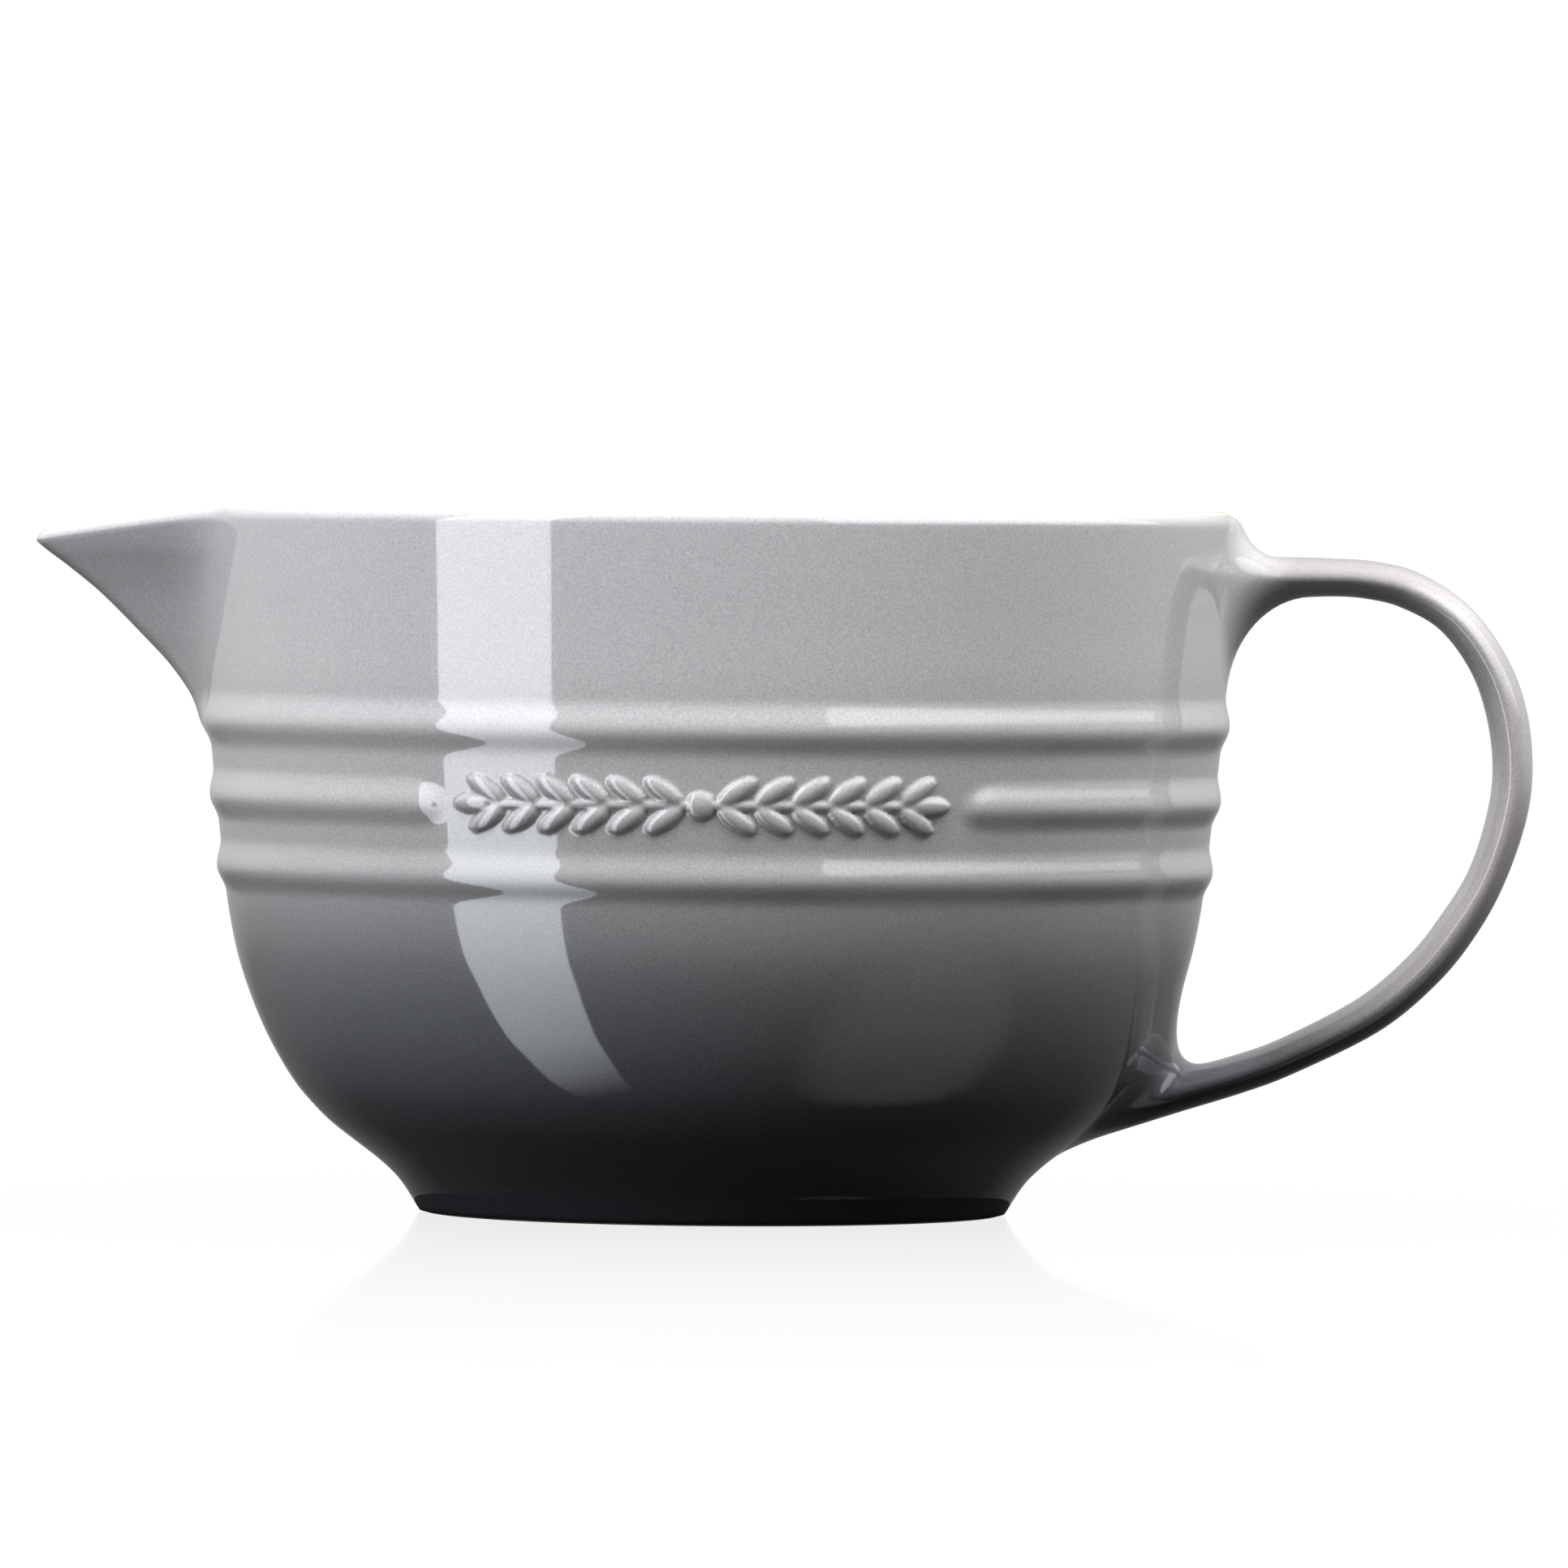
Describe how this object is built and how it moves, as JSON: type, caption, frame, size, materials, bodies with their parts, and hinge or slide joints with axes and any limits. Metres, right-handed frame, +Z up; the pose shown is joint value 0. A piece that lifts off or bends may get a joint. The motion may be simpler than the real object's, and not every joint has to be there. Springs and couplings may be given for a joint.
{
  "type": "batter bowl",
  "caption": "Glazed stoneware batter bowl with a pouring spout, a loop handle and soft raised bands round the wall.",
  "frame": {"origin": "centre of the foot ring on the plane the bowl stands on", "axes": "+Z up; +X towards the handle; -X towards the spout; the ornamented side faces -Y"},
  "size_m": [0.276, 0.1904, 0.1298],
  "materials": {
    "stoneware": "matte",
    "slip": "matte",
    "grey_glaze": "gloss",
    "cream_glaze": "gloss"
  },
  "bodies": {
    "root": {"bowl_body": "stoneware", "spout": "stoneware", "spout_lute": "slip", "handle": "stoneware", "handle_upper_lute": "slip", "handle_lower_lute": "slip", "relief_sprig": "grey_glaze", "exterior_glaze": "grey_glaze", "interior_glaze": "cream_glaze", "handle_glaze": "grey_glaze", "base_glaze": "grey_glaze"}
  },
  "joints": []
}
